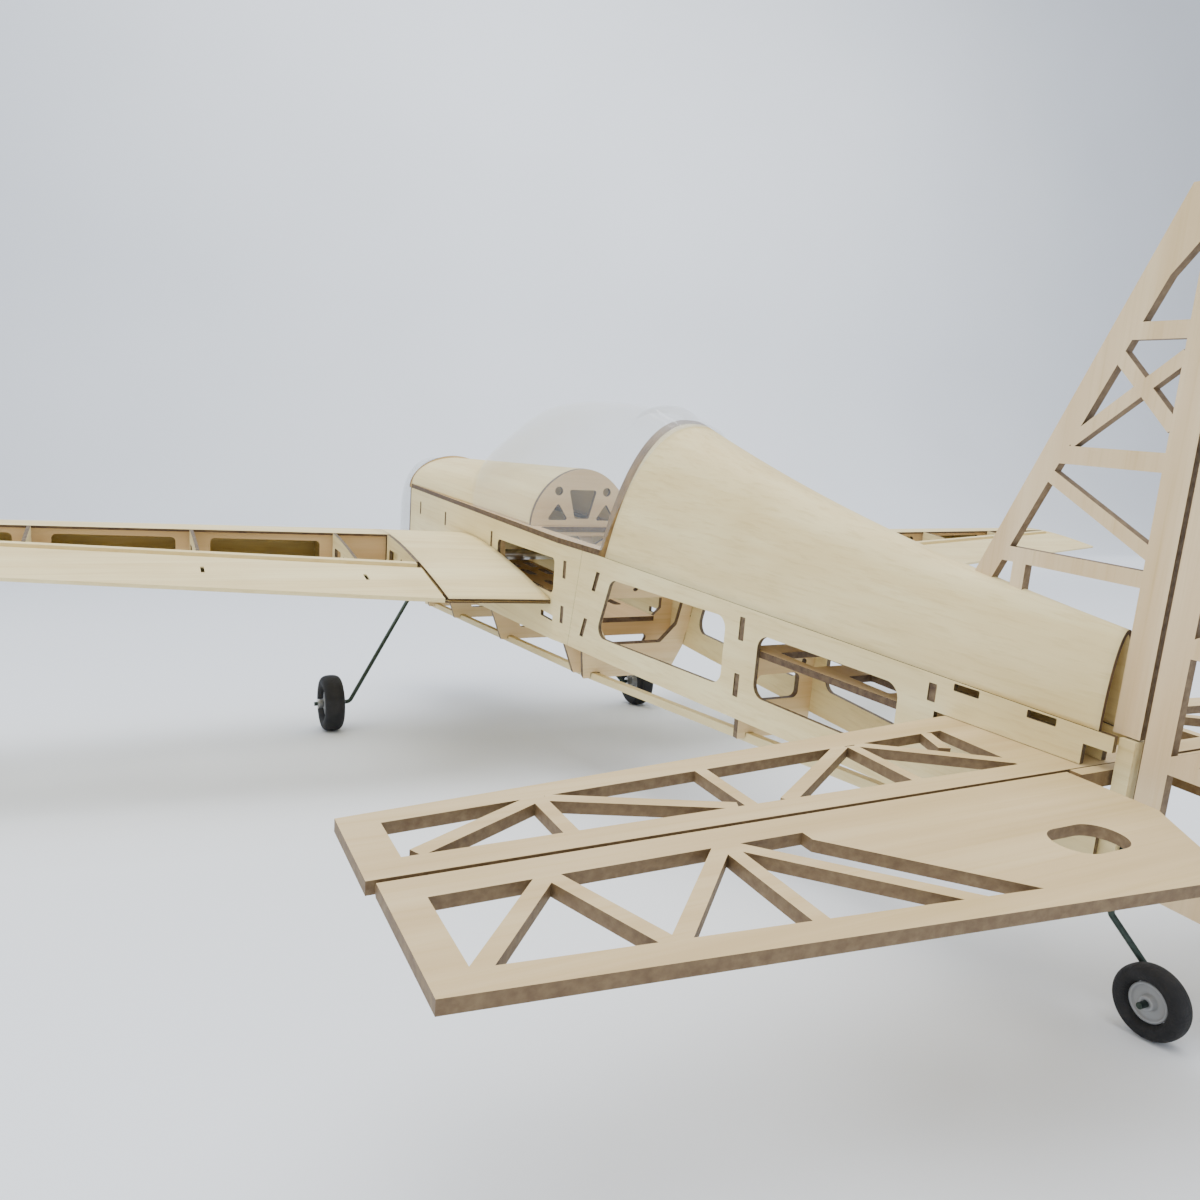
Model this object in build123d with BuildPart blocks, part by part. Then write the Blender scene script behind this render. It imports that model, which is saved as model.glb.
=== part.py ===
"""Bare balsa and plywood airframe of a radio-control aerobatic model, tail-wheel type, about 1.15 m span.

Everything is drawn in the builder's datum frame: X to the pilot's left, Y aft from the firewall, Z up from
the top edge of the fuselage sides.  At the end the whole model is pitched nose-up onto its wheels.
"""
from build123d import *
import os
from math import atan, atan2, cos, degrees, radians, sin

os.makedirs("parts", exist_ok=True)

# stance on the ground
PITCH = 8.323                 # degrees nose-up, standing on the main wheels and the tail wheel
GEAR_Y = 102.4                # datum station that the model is pitched about
DATUM_HEIGHT = 171.16         # height of that station's hatch line above the ground

# fuselage
HALF_WIDTH = 38.9
TAPER_Y = 310.0               # the sides run parallel up to here, then close towards the sternpost
TAPER = 0.102                 # loss of half-width per millimetre aft
SIDE = 2.0                    # side sheet
PLY = 3.0                     # formers, trays, frames
GAP = 0.05                    # glue gap beside a former
TAB_GAP = 0.2                 # laser kerf round a tab
DECK_RISE = 0.022             # fall of the side's top edge per millimetre behind the cockpit
COCKPIT_Y = 357.0
RAKE = 0.335                  # aft lean of the cockpit's rear former, per millimetre of height
STERN_Y = 639.4
STERNPOST = 5.0
STRINGER = 4.0

# hatch and canopy
PANEL_Y = 257.0
RAIL_LOW, RAIL_HIGH = 0.3, 3.3
DECK_BASE = 3.5
DECK_SHEET = 1.5
CANOPY_SHEET = 0.8

# wing
ROOT_X, BAY_X, TIP_X = 39.3, 102.0, 566.0
RIB_X = [102.0, 138.0, 225.0, 312.0, 399.0, 486.0, 563.0]
LEAD_ROOT, LEAD_SWEEP = 101.6, 0.040
TRAIL_ROOT, TRAIL_SWEEP = 306.5, 0.190
CHORD_Z, DIHEDRAL = -35.7, 0.035
THICKNESS = 0.175
AILERON_CHORD, AILERON_TIP_CHORD = 56.0, 52.0
SPAR_AT = 0.31                # share of the chord ahead of the main spar
WING_SHEET = 1.5
TUBE_Y, TUBE_Z, TUBE_R = 144.0, -34.6, 4.0

# landing gear
TRACK, WHEEL_R, WHEEL_W = 129.4, 20.6, 14.0
WIRE_R = 1.5
TAIL_WHEEL_R, TAIL_WHEEL_W, TAIL_WIRE_R = 11.0, 7.0, 1.0
RUNNING = 0.05                # radial clearance of a wheel on its axle

# tail
TAIL_SHEET = 3.2
STAB_Z = -19.6
STAB_TIP, STAB_HINGE = 223.8, 632.5
RUDDER_HINGE = 645.0
HINGE_GAP = 0.4
HINGE_BEVEL = 1.0             # length of the bevels on a leading edge, which clear its swing

pieces = []


def keep(builder, name):
    """Label a finished sub-part and put it with the others."""
    builder.part.label = name
    pieces.append(builder.part)
    return builder.part


def mirrored(part, name):
    """The same sub-part on the pilot's right side."""
    with BuildPart() as twin:
        add(mirror(part, about=Plane.YZ))
    return keep(twin, name)


def half_width(y):
    return HALF_WIDTH - TAPER * max(0.0, y - TAPER_Y)


def side_top(y):
    return -DECK_RISE * max(0.0, y - COCKPIT_Y)


def side_bottom(y):
    return -73.0 + 0.0495 * min(y, 340.0) + 0.012 * max(0.0, y - 340.0) + 0.033 * max(0.0, y - 500.0)


def keel(y):
    """Height of the belly stringers' middle."""
    return -101.3 + 0.0804 * y


def stringer_x(y):
    return 21.4 if y < 333.0 else 21.4 - 18.1 * (y - 333.0) / 300.0


def station(y):
    """Cross-section plane: drawn in X and Z, its normal forward."""
    return Plane(origin=(0, y, 0), x_dir=(1, 0, 0), z_dir=(0, -1, 0))


def profile_at(x):
    """Lengthwise upright plane: drawn in Y and Z, its normal to the left."""
    return Plane(origin=(x, 0, 0), x_dir=(0, 1, 0), z_dir=(1, 0, 0))


RAKED = Plane(origin=(0, COCKPIT_Y, 0), x_dir=(1, 0, 0), z_dir=(0, -1, RAKE))
LEAN = cos(atan(RAKE))


def sheet(plane, outline, thickness, openings=(), holes=()):
    """Flat stock cut to an outline, with rounded openings (points, radius) and round holes (x, y, r)."""
    with BuildPart() as cut:
        with BuildSketch(plane):
            with BuildLine():
                Polyline(*outline, close=True)
            make_face()
            for points, radius in openings:
                with BuildLine():
                    FilletPolyline(*points, radius=radius, close=True)
                make_face(mode=Mode.SUBTRACT)
            for x, y, radius in holes:
                with Locations((x, y)):
                    Circle(radius, mode=Mode.SUBTRACT)
        extrude(amount=thickness)
    return cut


def both(points):
    """A half outline on the left, listed from the top down, closed with its mirror image."""
    return list(points) + [(-x, z) for x, z in reversed(points) if x > 0]


def box_of(x0, x1, z0, z1):
    return [(x0, z0), (x1, z0), (x1, z1), (x0, z1)]


def arch(half, base, top, power, leg=0.0):
    """Round-topped section: a superellipse from one foot to the other, with straight legs of a given length."""
    turns = [0, 12, 26, 42, 60, 76, 90]
    left = []
    for turn in turns:
        c, s = cos(radians(turn)), sin(radians(turn))
        left.append((half * c ** (2 / power) if turn < 90 else 0.0, base + (top - base) * s ** (2 / power)))
    right = [(-x, z) for x, z in reversed(left[:-1])]
    with BuildLine() as outline:
        Spline(*(left + right), tangents=[(0, 1), (0, -1)])
        if leg:
            Polyline((-half, base), (-half, base - leg), (half, base - leg), (half, base))
        else:
            Line((-half, base), (half, base))
    make_face(outline.edges())


# ---------------------------------------------------------------- fuselage sides
SLOT_STATIONS = [28.0, 96.5, 200.0, 318.5]
UPPER_TAB, LOWER_TAB = (-19.0, -9.0), (-45.4, -35.6)
TAIL_TABS = [(472.5, (-17.6, -7.4)), (472.5, (-43.4, -33.2)), (573.6, (-14.6, -8.4))]
SPLIT = RAKE * 0.5                                   # the panel joint leans half as much as the former
SPLIT_Y = 338.0


def slot(y0, y1, z0, z1):
    return (box_of(y0 - TAB_GAP, y1 + TAB_GAP, z0 - TAB_GAP, z1 + TAB_GAP), 0.4)


taper_angle = atan(TAPER)
outward = Vector(cos(taper_angle), sin(taper_angle), 0)
REAR_SIDE = Plane(
    origin=Vector(HALF_WIDTH, TAPER_Y, 0) - outward * SIDE,
    x_dir=(-sin(taper_angle), cos(taper_angle), 0), z_dir=outward,
)


def along(points):
    """Y and Z stations turned into distances along the tapering side sheet."""
    return [((y - TAPER_Y) / cos(taper_angle), z) for y, z in points]


# the front sheet runs flat to the taper and bends inwards along it as far as the joint
front_outline = [(0.0, 0.0), (TAPER_Y, 0.0), (TAPER_Y, side_bottom(TAPER_Y)), (0.0, side_bottom(0.0))]
front_openings = [slot(y, y + PLY, *UPPER_TAB) for y in SLOT_STATIONS[:-1]]
front_openings.append(slot(292.6, 309.6, -46.6, -43.6))
front_openings.append(([(214.0, -12.2), (308.0, -9.4), (308.0, -30.4), (240.0, -30.4), (214.0, -22.0)], 3.5))
bent_outline = along([
    (TAPER_Y, 0.0), (SPLIT_Y - 0.1, 0.0), (SPLIT_Y - 56.6 * SPLIT - 0.1, side_bottom(329.0)),
    (TAPER_Y, side_bottom(TAPER_Y)),
])
bent_openings = []
for low, high in (UPPER_TAB, LOWER_TAB):
    outline, radius = slot(SLOT_STATIONS[-1], SLOT_STATIONS[-1] + PLY, low, high)
    bent_openings.append((along(outline), radius))
GEAR_BLOCK_Y, GEAR_BLOCK_Z = 66.0, -56.0
with BuildPart() as left_front:
    add(sheet(
        profile_at(HALF_WIDTH - SIDE), front_outline, SIDE, front_openings,
        [(TUBE_Y, TUBE_Z, TUBE_R + RUNNING), (GEAR_BLOCK_Y, GEAR_BLOCK_Z, WIRE_R + 1.2)],
    ).part)
    add(sheet(REAR_SIDE, bent_outline, SIDE, bent_openings).part)
mirrored(keep(left_front, "side_front_left"), "side_front_right")


def stern_slot():
    """Cut for the tailplane and for the elevator joiner behind it, open at the stern."""
    half = TAIL_SHEET / 2 + 0.2
    return [(577.0, STAB_Z - half), (STAB_HINGE - 2.0, STAB_Z - half), (STAB_HINGE - 2.0, STAB_Z - 8.4),
            (STERN_Y + 9, STAB_Z - 8.4), (STERN_Y + 9, STAB_Z + 8.4), (STAB_HINGE - 2.0, STAB_Z + 8.4),
            (STAB_HINGE - 2.0, STAB_Z + half), (577.0, STAB_Z + half)]


rear_outline = along([
    (SPLIT_Y + 0.1, 0.0), (COCKPIT_Y, 0.0), (STERN_Y, side_top(STERN_Y)), (STERN_Y, -47.6), (600.0, -50.5),
    (520.0, -52.2), (452.0, -54.2), (376.0, -56.0), (SPLIT_Y - 56.6 * SPLIT + 0.1, side_bottom(329.0)),
])
rear_openings = [
    (along([(368.5, -10.6), (463.0, -9.6), (463.0, -41.4), (357.0, -44.4)]), 6.0),
    (along([(485.0, -12.3), (561.0, -12.9), (561.0, -39.6), (485.0, -40.1)]), 6.0),
]
for y, (low, high) in TAIL_TABS:
    rear_openings.append((along(box_of(y - TAB_GAP, y + PLY + TAB_GAP, low - TAB_GAP, high + TAB_GAP)), 0.4))
for y in (583.5, 611.2):
    rear_openings.append((along(box_of(y, y + 10.0, side_top(y) - 3.4, side_top(y) - 0.8)), 0.4))
for low, high in (UPPER_TAB, (-46.9, -36.9)):
    lean = [(COCKPIT_Y + RAKE * z + edge, z) for z, edge in
            ((low - 1.1, -TAB_GAP), (low - 1.1, PLY / LEAN + TAB_GAP), (high, PLY / LEAN + TAB_GAP), (high, -TAB_GAP))]
    rear_openings.append((along(lean), 0.4))
with BuildPart() as left_rear:
    add(sheet(REAR_SIDE, rear_outline, SIDE, rear_openings).part)
    with BuildSketch(REAR_SIDE):
        with BuildLine():
            Polyline(*along(stern_slot()), close=True)
        make_face()
    extrude(amount=SIDE, mode=Mode.SUBTRACT)
mirrored(keep(left_rear, "side_rear_left"), "side_rear_right")


# ---------------------------------------------------------------- formers
def former_outline(y, top, tabs, ease=0.0):
    """Ring outline between the sides: tabs into their slots, a tapered belly and notches for the stringers."""
    inner = half_width(y + PLY) - SIDE * 1.01 - GAP
    outer = half_width(y) - 0.35
    foot = stringer_x(y)
    floor = keel(y)
    notch, roof = STRINGER / 2 + 0.35 + ease / 2, STRINGER / 2 + 0.45 + ease
    left = [(inner, top)]
    for low, high in sorted(tabs, reverse=True):
        left += [(inner, high), (outer, high), (outer, low), (inner, low)]
    left += [(inner, side_bottom(y) + 3.0), (inner, side_bottom(y) + 0.4)]
    left += [(min(foot + 7.0, inner - 0.2), floor), (foot + notch, floor), (foot + notch, floor + roof),
             (foot - notch, floor + roof), (foot - notch, floor)]
    return both(left)


def ring_hole(y, top, bottom, margin=8.0, chamfer=7.0):
    inner = half_width(y) - SIDE - margin
    return ([(inner, top - chamfer), (inner - chamfer, top), (chamfer - inner, top), (-inner, top - chamfer),
             (-inner, bottom + chamfer), (chamfer - inner, bottom), (inner - chamfer, bottom),
             (inner, bottom + chamfer)], 1.5)


def belly_hole(y, top, shrink=7.0):
    inner = half_width(y) - SIDE - 12.0
    foot = stringer_x(y) - shrink
    return ([(inner - 4, top), (4 - inner, top), (-foot, keel(y) + 8.5), (foot, keel(y) + 8.5)], 2.0)


TRAY_Z = -45.0
firewall = sheet(
    station(-PLY), both([(HALF_WIDTH, 0.0), (HALF_WIDTH, side_bottom(0)), (28.4, keel(0)), (10.0, keel(0))]), -PLY,
    [([(22.0, -78.0), (-22.0, -78.0), (-15.0, -92.0), (15.0, -92.0)], 2.0)],
    [(0, -42.0, 8.0)] + [(22 * cos(radians(a)), -42 + 22 * sin(radians(a)), 1.6) for a in (45, 135, 225, 315)],
)
keep(firewall, "firewall")

for name, y in (("former_nose", 28.0), ("former_wing_front", 96.5), ("former_wing_rear", 200.0),
                ("former_cockpit_front", 318.5)):
    tabs = [UPPER_TAB] + ([LOWER_TAB] if y > 300 else [])
    keep(sheet(station(y), former_outline(y, -0.3, tabs), -PLY,
               [ring_hole(y, -8.0, TRAY_Z), belly_hole(y, TRAY_Z - 9.0)]), name)

raked_outline = []
for x, z in former_outline(COCKPIT_Y - 24.0, -0.3, [UPPER_TAB, (-46.9, -36.9)], ease=1.3):
    lost = half_width(COCKPIT_Y - 24.0) - half_width(COCKPIT_Y + RAKE * z) + 0.4 if abs(x) > 29.0 else 0.0
    raked_outline.append((x - lost if x > 0 else x + lost, z / LEAN))
keep(sheet(RAKED, raked_outline, -PLY, [
    (box_of(-23.0, 23.0, -13.5 / LEAN, -7.0 / LEAN), 2.0),
    ([(25.0, -25.0), (-25.0, -25.0), (-25.0, -44.0), (-17.0, -56.0), (17.0, -56.0), (25.0, -44.0)], 2.0),
], [(9.0, -19.0, 1.6), (-9.0, -19.0, 1.6)]), "former_cockpit_rear")

keep(sheet(station(472.5), former_outline(472.5, side_top(472.5) - 0.3, [t for y, t in TAIL_TABS if y < 500]), -PLY, [
    (box_of(-12.0, 12.0, -46.0, -34.0), 3.0), (box_of(-12.0, 12.0, -24.0, -10.0), 3.0),
], [(13.5, -29.0, 1.6), (-13.5, -29.0, 1.6)]), "former_tail_front")
keep(sheet(station(573.6), former_outline(573.6, side_top(573.6) - 0.3, [TAIL_TABS[2][1]]), -PLY, [
    (box_of(-5.0, 5.0, -42.0, -27.0), 2.0)]), "former_tail_rear")

# belly stringers: two square sticks from the firewall to the sternpost, with a slight inward bend
with BuildPart() as stringers:
    for hand in (1, -1):
        for start, end in (((21.4, 0.2), (21.4, 332.9)), ((21.4, 333.1), (3.3, 633.0))):
            heading = Vector(hand * (end[0] - start[0]), end[1] - start[1], keel(end[1]) - keel(start[1]))
            place = Plane(origin=(hand * start[0], start[1], keel(start[1])), x_dir=(1, 0, 0), z_dir=heading)
            with BuildSketch(place):
                Rectangle(STRINGER, STRINGER)
            extrude(amount=heading.length)
keep(stringers, "belly_stringers")

with BuildPart() as sternpost:
    with BuildSketch(Plane.XY.offset(-56.0)):
        with Locations((0, STERN_Y + 0.1 + STERNPOST / 2)):
            Rectangle(6.2, STERNPOST)
    extrude(amount=56.0 + side_top(STERN_Y) - 0.2)
    with BuildSketch(Plane.XY.offset(-60.0)):
        with Locations((0, RUDDER_HINGE)):
            Circle(TAIL_WIRE_R + 0.3)
    extrude(amount=36.0, mode=Mode.SUBTRACT)
    with BuildSketch(profile_at(-2.9)):
        with BuildLine():
            Polyline((612.0, -49.8), (STERN_Y + 0.2, -47.5), (STERN_Y + 0.2, -31.0), (628.0, -31.0), close=True)
        make_face()
    extrude(amount=5.8)
keep(sternpost, "sternpost")

# ---------------------------------------------------------------- trays and landing-gear block
tray_slots = [(box_of(x - 3.0, x + 3.0, y - 11.0, y + 11.0), 2.9) for x in (-14.0, 0.0, 14.0)
              for y in (58.0, 88.0, 118.0, 148.0, 178.0, 222.0, 252.0, 282.0)]
tray_half = HALF_WIDTH - SIDE - 16.1
keep(sheet(Plane.XY.offset(TRAY_Z + 0.1), [
    (tray_half, 4.0), (tray_half, 326.0), (-tray_half, 326.0), (-tray_half, 4.0)], PLY, tray_slots), "battery_tray")

inner_a, inner_b = half_width(476.0) - SIDE - 0.2, half_width(573.0) - SIDE - 0.2
keep(sheet(Plane.XY.offset(-23.0), [(inner_a, 476.0), (inner_b, 573.2), (-inner_b, 573.2), (-inner_a, 476.0)], PLY,
           [(box_of(-11.5, 11.5, 489.0, 512.0), 1.0), (box_of(-6.5, 6.5, 527.0, 550.0), 1.0)]), "servo_tray")

with BuildPart() as gear_block:
    with BuildSketch(Plane.YZ.offset(-(HALF_WIDTH - SIDE - GAP))):
        with Locations((GEAR_BLOCK_Y, GEAR_BLOCK_Z)):
            Rectangle(16.0, 14.0)
            Circle(WIRE_R + RUNNING, mode=Mode.SUBTRACT)
    extrude(amount=2 * (HALF_WIDTH - SIDE - GAP))
keep(gear_block, "gear_block")

# ---------------------------------------------------------------- rear deck, sheeted
def ridge(y):
    """Top line of the rear deck: a shallow curve falling towards the fin."""
    t = (y - 382.0) / (STERN_Y - 382.0)
    return 75.0 - 62.0 * t + 11.5 * t * t + 3.0 * sin(radians(180 * t)) * -1.0


def rear_deck_solid(inset, leg, ahead=0.0):
    """Lofted body of the rear deck, drawn smaller by an inset to hollow it."""
    sections = []
    with BuildSketch(RAKED.offset(ahead - 0.1)) as first:
        arch(half_width(COCKPIT_Y) - inset, 0.2, (75.0 - inset) / LEAN, 2.5, leg)
    sections.append(first.sketch)
    for y in (440.0, 510.0, 575.0, STERN_Y - 5.0):
        with BuildSketch(station(y)) as section:
            arch(half_width(y) - inset, side_top(y) + 0.2, ridge(y) - inset, 2.5 - 0.4 * (y - 357) / 280, leg)
        sections.append(section.sketch)
    with BuildPart() as body:
        for section in sections:
            add(section)
        loft()
    return body.part


rear_body = rear_deck_solid(0.0, 0.0)
with BuildPart() as rear_deck:
    add(rear_body)
    add(rear_deck_solid(DECK_SHEET, 4.0, 1.0), mode=Mode.SUBTRACT)
keep(rear_deck, "rear_deck")

# the front edge of the rear deck is a plywood hoop, flush with the raked former under it
with BuildPart() as hoop:
    with BuildSketch(RAKED.offset(0.1)):
        arch(half_width(COCKPIT_Y) + 0.4, 0.2, 75.4 / LEAN, 2.5)
    extrude(amount=1.6)
    with BuildSketch(RAKED):
        arch(half_width(COCKPIT_Y) - 7.0, 0.0, 68.0 / LEAN, 2.5, leg=3.0)
    extrude(amount=3.0, mode=Mode.SUBTRACT)
keep(hoop, "rear_deck_hoop")

# ---------------------------------------------------------------- hatch: frame, front deck, panel, canopy
def deck_top(y):
    return 27.5 + 12.5 * y / PANEL_Y


def deck_half(y):
    return HALF_WIDTH - 3.9 * y / PANEL_Y


def front_deck_solid(inset, leg, y0, y1):
    sections = []
    for y in (y0, 0.5 * (y0 + y1), y1):
        with BuildSketch(station(y)) as section:
            arch(deck_half(y) - inset, DECK_BASE, deck_top(y) - inset, 1.9, leg)
        sections.append(section.sketch)
    with BuildPart() as body:
        for section in sections:
            add(section)
        loft()
    return body.part


with BuildPart() as front_deck:
    add(front_deck_solid(0.0, 0.0, 0.2, PANEL_Y - 0.1))
    add(front_deck_solid(DECK_SHEET, 3.0, -2.0, PANEL_Y + 3.0), mode=Mode.SUBTRACT)
keep(front_deck, "front_deck")

with BuildPart() as nose_hoop:
    with BuildSketch(station(-PLY)):
        arch(HALF_WIDTH, RAIL_LOW, deck_top(0), 1.9)
    extrude(amount=-PLY)
    with BuildSketch(station(-PLY)):
        arch(HALF_WIDTH - 9.0, RAIL_LOW + 6.0, deck_top(0) - 7.0, 1.9)
    extrude(amount=-PLY, mode=Mode.SUBTRACT)
keep(nose_hoop, "hatch_nose_former")

with BuildPart() as panel:
    with BuildSketch(station(PANEL_Y)):
        arch(deck_half(PANEL_Y), DECK_BASE, deck_top(PANEL_Y), 1.9)
        for hand in (1, -1):
            with Locations((hand * 17.0, 25.5)):
                Circle(2.8, mode=Mode.SUBTRACT)
            with BuildLine():
                FilletPolyline((hand * 17.0, 18.0), (hand * 24.5, 7.0), (hand * 9.5, 7.0), radius=1.2, close=True)
            make_face(mode=Mode.SUBTRACT)
        with BuildLine():
            FilletPolyline((9.8, 26.5), (-9.8, 26.5), (-5.0, 8.0), (5.0, 8.0), radius=1.5, close=True)
        make_face(mode=Mode.SUBTRACT)
    extrude(amount=-PLY)
keep(panel, "instrument_panel")

rail = HALF_WIDTH - 7.5
frame_end = COCKPIT_Y - 2.4
with BuildPart() as hatch_frame:
    with BuildSketch(Plane.XY.offset(RAIL_LOW)):
        with BuildLine():
            Polyline((HALF_WIDTH, 0.2), (HALF_WIDTH, TAPER_Y), (half_width(frame_end), frame_end),
                     (-half_width(frame_end), frame_end), (-HALF_WIDTH, TAPER_Y), (-HALF_WIDTH, 0.2), close=True)
        make_face()
        for y0, y1 in ((12.0, 118.0), (126.0, 250.0), (264.0, 344.0)):
            with BuildLine():
                FilletPolyline((rail, y0), (min(rail, half_width(y1) - 7.5), y1),
                               (-min(rail, half_width(y1) - 7.5), y1), (-rail, y0), radius=4.0, close=True)
            make_face(mode=Mode.SUBTRACT)
    extrude(amount=RAIL_HIGH - RAIL_LOW)
    for x, y in ((34.0, 6.5), (-34.0, 6.5), (28.0, 350.0), (-28.0, 350.0)):
        with BuildSketch(Plane.XY.offset(RAIL_LOW)):
            with Locations((x, y)):
                Circle(2.55)
        extrude(amount=2.1, mode=Mode.SUBTRACT)
keep(hatch_frame, "hatch_frame")

# the panel stands on a low cross rib with a wide triangular opening under the instruments
foot_half = HALF_WIDTH - SIDE - GAP
foot_outline = [(foot_half, RAIL_LOW - 0.6), (-foot_half, RAIL_LOW - 0.6), (-foot_half, -10.5), (foot_half, -10.5)]
foot_opening = ([(20.0, -2.6), (-20.0, -2.6), (-10.0, -8.2), (10.0, -8.2)], 1.0)
keep(sheet(station(PANEL_Y + PLY + 0.1), foot_outline, -PLY, [foot_opening]), "panel_foot")

CANOPY_TOP = [(96.0, 29.0), (128.0, 42.0), (152.0, 52.0), (179.0, 63.5), (216.0, 76.6), (262.0, 82.3), (313.0, 82.4),
              (361.0, 78.6), (402.0, 72.0)]


def canopy_half(y):
    """Half-width at the foot: inside the rail at the windscreen, spread over the rear deck behind it."""
    front = min(1.0, (y - 70.0) / 90.0)
    spread = 0.6 * min(1.0, max(0.0, (y - 250.0) / 90.0))
    return (half_width(y) - 0.1) * front ** 0.5 + spread


def hoop_front(z):
    """Station of the canopy's rear edge, just clear of the rear deck's hoop."""
    return COCKPIT_Y - 2.8 + RAKE * z


def canopy_solid(inset, leg):
    sections = []
    for y, top in CANOPY_TOP:
        with BuildSketch(station(y)) as section:
            power = 2.0 + 0.55 * min(1.0, max(0.0, (y - 130.0) / 200.0))
            arch(canopy_half(y) - inset, DECK_BASE, top - inset, power, leg)
        sections.append(section.sketch)
    with BuildPart() as body:
        for section in sections:
            add(section)
        loft()
    return body.part


with BuildPart() as canopy:
    add(canopy_solid(0.0, 0.0))
    add(canopy_solid(CANOPY_SHEET, 4.0), mode=Mode.SUBTRACT)
    add(front_deck_solid(-0.5, 3.0, -2.0, PANEL_Y + 4.0), mode=Mode.SUBTRACT)
    with BuildSketch(profile_at(-60)):
        with BuildLine():
            Polyline((hoop_front(-10.0), -10.0), (hoop_front(120.0), 120.0), (470.0, 120.0), (470.0, -10.0), close=True)
        make_face()
    extrude(amount=120, mode=Mode.SUBTRACT)
    with BuildSketch(profile_at(-60)):
        with BuildLine():
            Polyline((60.0, -10.0), (104.0, -10.0), (104.0, 90.0), (60.0, 90.0), close=True)
        make_face()
    extrude(amount=120, mode=Mode.SUBTRACT)
keep(canopy, "canopy")

with BuildPart() as magnets:
    for x, y in ((34.0, 6.5), (-34.0, 6.5), (28.0, 350.0), (-28.0, 350.0)):
        with BuildSketch(Plane.XY.offset(RAIL_LOW + 0.05)):
            with Locations((x, y)):
                Circle(2.5)
        extrude(amount=2.0)
keep(magnets, "hatch_magnets")

# ---------------------------------------------------------------- cowl, vacuum-formed
def cowl_solid(inset, back):
    sections = []
    for y, half, low, high in ((back, 39.0, -101.0, 27.0), (-30.0, 38.0, -92.0, 24.0), (-56.0, 32.0, -76.0, 6.0),
                               (-66.0 + inset, 25.0, -66.0, -14.0)):
        with BuildSketch(station(y)) as section:
            with Locations((0, (low + high) / 2)):
                RectangleRounded(2 * (half - inset), high - low - 2 * inset, 0.62 * (half - inset))
        sections.append(section.sketch)
    with BuildPart() as body:
        for section in sections:
            add(section)
        loft()
    return body.part


with BuildPart() as cowl:
    add(cowl_solid(0.0, -PLY - 0.2))
    add(cowl_solid(1.0, -PLY + 0.4), mode=Mode.SUBTRACT)
    with BuildSketch(station(-80.0)):
        with Locations((0, -42.0)):
            Circle(19.0)
    extrude(amount=-30.0, mode=Mode.SUBTRACT)
keep(cowl, "cowl")


# ---------------------------------------------------------------- wing
def lead(x):
    return LEAD_ROOT + LEAD_SWEEP * (x - HALF_WIDTH)


def trail(x):
    return TRAIL_ROOT - TRAIL_SWEEP * max(0.0, x - BAY_X)


def mid(x):
    return CHORD_Z + DIHEDRAL * (x - HALF_WIDTH)


def hinge_y(x):
    return trail(x) - AILERON_CHORD + (AILERON_CHORD - AILERON_TIP_CHORD) * (x - BAY_X) / (TIP_X - BAY_X)


def spar_y(x):
    return lead(x) + SPAR_AT * (trail(x) - lead(x))


def thick(s):
    """Half-thickness of the symmetric section as a share of the chord, with a blunt trailing edge."""
    shape = 0.2969 * s ** 0.5 - 0.126 * s - 0.3516 * s ** 2 + 0.2843 * s ** 3 - 0.1036 * s ** 4
    return 5 * THICKNESS * shape + 0.006 * s


def skin_z(x, y):
    chord = trail(x) - lead(x)
    return chord * thick(min(1.0, max(0.0, (y - lead(x)) / chord)))


def spots(y0, y1, count):
    """Stations along the chord, closer together at the front."""
    return [y0 + (y1 - y0) * (k / count) ** 1.8 for k in range(count + 1)]


def wing_section(x, y0, y1, inset, closed_nose):
    """One rib outline between two chord stations, reduced by an inset; drawn on its own lengthwise plane."""
    z = mid(x)
    upper = [(y, z + max(0.25, skin_z(x, y) - inset)) for y in spots(y0, y1, 12)]
    lower = [(y, 2 * z - h) for y, h in upper]
    front = [(y0, z)] if closed_nose else [lower[0], upper[0]]
    outline = front + upper[1:] + lower[:0:-1]
    with BuildSketch(profile_at(x)) as section:
        with BuildLine():
            Polyline(*outline, close=True)
        make_face()
    return section.sketch


def wing_loft(x0, x1, front, back, inset, closed_nose):
    with BuildPart() as body:
        for x in (x0, x1):
            add(wing_section(x, front(x) + (inset if closed_nose else 0), back(x), inset, closed_nose))
        loft(ruled=True)
    return body.part


with BuildPart() as root_skin:
    add(wing_loft(ROOT_X, BAY_X - 0.1, lead, trail, 0.0, True))
    add(wing_loft(ROOT_X - 1.0, BAY_X + 1.0, lead, lambda x: trail(x) - 6.0, WING_SHEET, True), mode=Mode.SUBTRACT)
mirrored(keep(root_skin, "wing_root_skin_left"), "wing_root_skin_right")

with BuildPart() as nose_skin:
    add(wing_loft(BAY_X + 0.1, TIP_X, lead, lambda x: spar_y(x) + 8.0, 0.0, True))
    add(wing_loft(BAY_X - 1.0, TIP_X + 1.0, lead, lambda x: spar_y(x) + 12.0, WING_SHEET, True), mode=Mode.SUBTRACT)
mirrored(keep(nose_skin, "wing_nose_skin_left"), "wing_nose_skin_right")


def wing_strip(x0, x1, at, width, inset):
    """Upright spanwise member that fills the section's height between two lines."""
    return wing_loft(x0, x1, at, lambda x: at(x) + width, inset, False)


def spar_window(x0, x1, margin, share):
    """Rounded window between two ribs, as high as a share of the spar."""
    inner = [(x0 + margin, 0), (x1 - margin, 0)]
    h0, h1 = (share * (skin_z(x, spar_y(x)) - WING_SHEET) for x in (inner[0][0], inner[1][0]))
    z0, z1 = mid(inner[0][0]), mid(inner[1][0])
    return [(inner[0][0], z0 - h0), (inner[1][0], z1 - h1), (inner[1][0], z1 + h1), (inner[0][0], z0 + h0)]


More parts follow.
